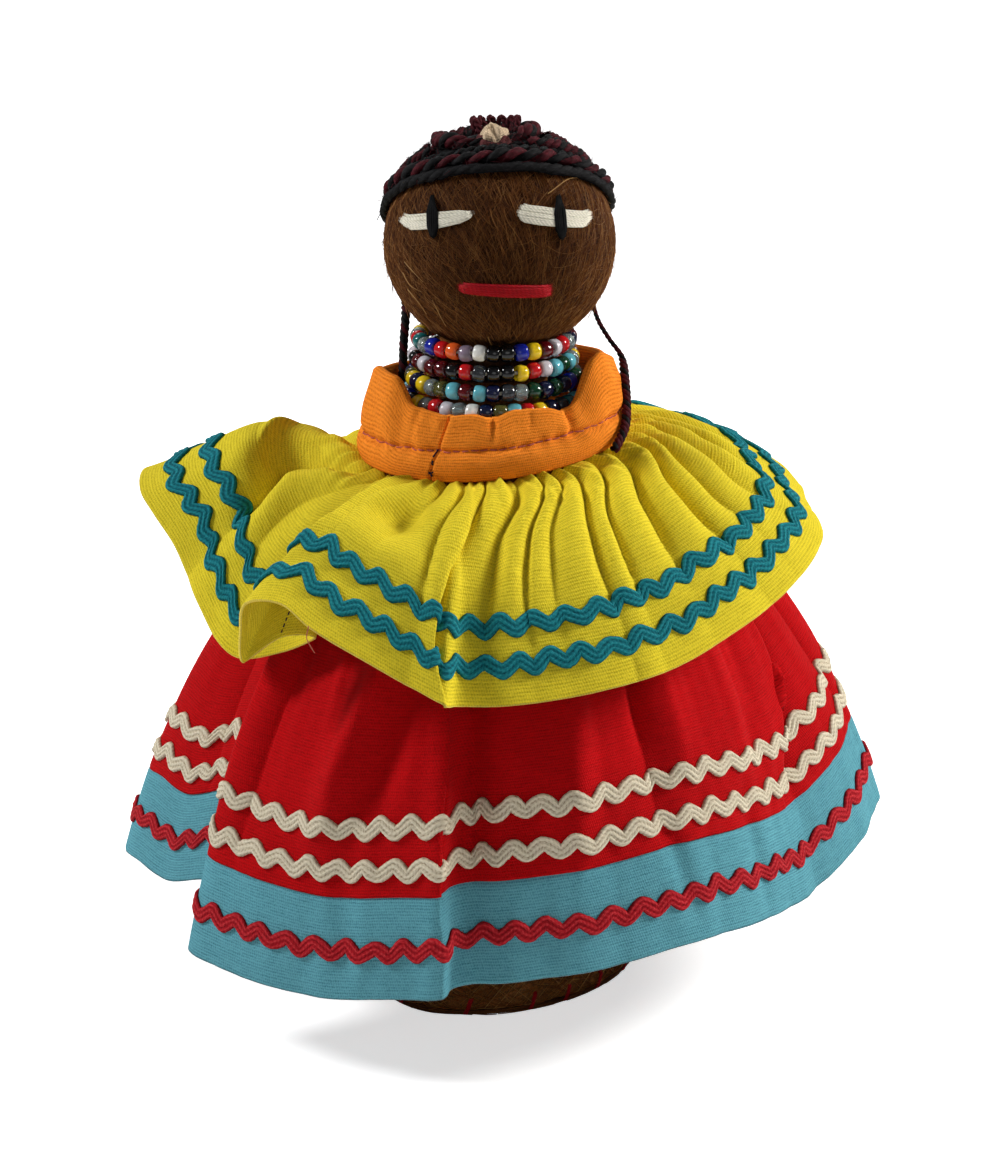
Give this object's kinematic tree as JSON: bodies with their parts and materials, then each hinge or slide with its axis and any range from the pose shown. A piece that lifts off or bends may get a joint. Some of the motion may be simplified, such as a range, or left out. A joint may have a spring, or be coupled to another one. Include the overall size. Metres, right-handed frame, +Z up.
{
  "type": "palmetto fiber doll",
  "caption": "Standing palmetto fiber doll with a round stitched head, braided cord hair, bead strands, a stand-up collar, a gathered cape and a full dress trimmed with rickrack, on an oval base.",
  "frame": {"origin": "middle of the base's underside, where the doll stands", "axes": "+Z up, -Y out of the face, +X towards the doll's own left hand side"},
  "size_m": [0.1375, 0.1033, 0.152],
  "materials": {
    "palmetto_fibre": "matte plant fibre, rough",
    "base_fibre": "matte plant fibre, pressed flat",
    "cardboard": "matte card",
    "stuffing": "loose cotton",
    "thread_white": "satin stitched thread",
    "thread_black": "satin stitched thread",
    "thread_red": "satin stitched thread",
    "cord_black": "braided thread",
    "cord_maroon": "braided thread",
    "cotton_cream": "matte plain weave",
    "cotton_orange": "matte ribbed weave",
    "cotton_yellow": "matte ribbed weave",
    "cotton_red": "matte ribbed weave",
    "cotton_turquoise": "matte ribbed weave",
    "tape_teal": "braided zigzag tape",
    "tape_cream": "braided zigzag tape",
    "tape_dark_red": "braided zigzag tape",
    "beads_blue": "glossy seed beads, mixed colours",
    "beads_red": "glossy seed beads, mixed colours",
    "beads_turquoise": "glossy seed beads, mixed colours",
    "beads_yellow": "glossy seed beads, mixed colours"
  },
  "bodies": {
    "doll": {"base_cover": "base_fibre", "base_board": "cardboard", "body_cover": "palmetto_fibre", "body_stuffing": "stuffing", "head_cover": "palmetto_fibre", "head_stuffing": "stuffing", "neck_tie": "thread_black", "eye_white_left": "thread_white", "eye_white_right": "thread_white", "pupil_left": "thread_black", "pupil_right": "thread_black", "mouth": "thread_red", "hair_edge_cord": "cord_black", "hair_row_1": "cord_maroon", "hair_row_2": "cord_black", "hair_row_3": "cord_maroon", "hair_row_4": "cord_black", "hair_row_5": "cord_maroon", "hair_row_6": "cord_black", "hair_row_7": "cord_maroon", "hair_row_8": "cord_black", "hair_row_9": "cord_maroon", "bun_coil": "cord_maroon", "bun_picots": "cord_maroon", "crown_patch": "cotton_cream", "tail_cord_right": "cord_maroon", "tail_cord_left": "cord_black", "collar": "cotton_orange", "cape": "cotton_yellow", "cape_rickrack_lower": "tape_teal", "cape_rickrack_upper": "tape_teal", "dress": "cotton_red", "dress_rickrack_lower": "tape_cream", "dress_rickrack_upper": "tape_cream", "hem_band": "cotton_turquoise", "hem_rickrack": "tape_dark_red"},
    "strand_1": {"necklace_1": "beads_blue"},
    "strand_2": {"necklace_2": "beads_red"},
    "strand_3": {"necklace_3": "beads_turquoise"},
    "strand_4": {"necklace_4": "beads_yellow"}
  },
  "joints": [
    {"name": "strand_1_turn", "type": "hinge", "parent": "doll", "child": "strand_1", "pos_m": [-0.0025, 0, 0.1152], "axis": [0, 0, 1], "continuous": true},
    {"name": "strand_2_turn", "type": "hinge", "parent": "doll", "child": "strand_2", "pos_m": [-0.0025, 0, 0.112], "axis": [0, 0, 1], "continuous": true},
    {"name": "strand_3_turn", "type": "hinge", "parent": "doll", "child": "strand_3", "pos_m": [-0.0025, 0, 0.1088], "axis": [0, 0, 1], "continuous": true},
    {"name": "strand_4_turn", "type": "hinge", "parent": "doll", "child": "strand_4", "pos_m": [-0.0025, 0, 0.1057], "axis": [0, 0, 1], "continuous": true}
  ]
}
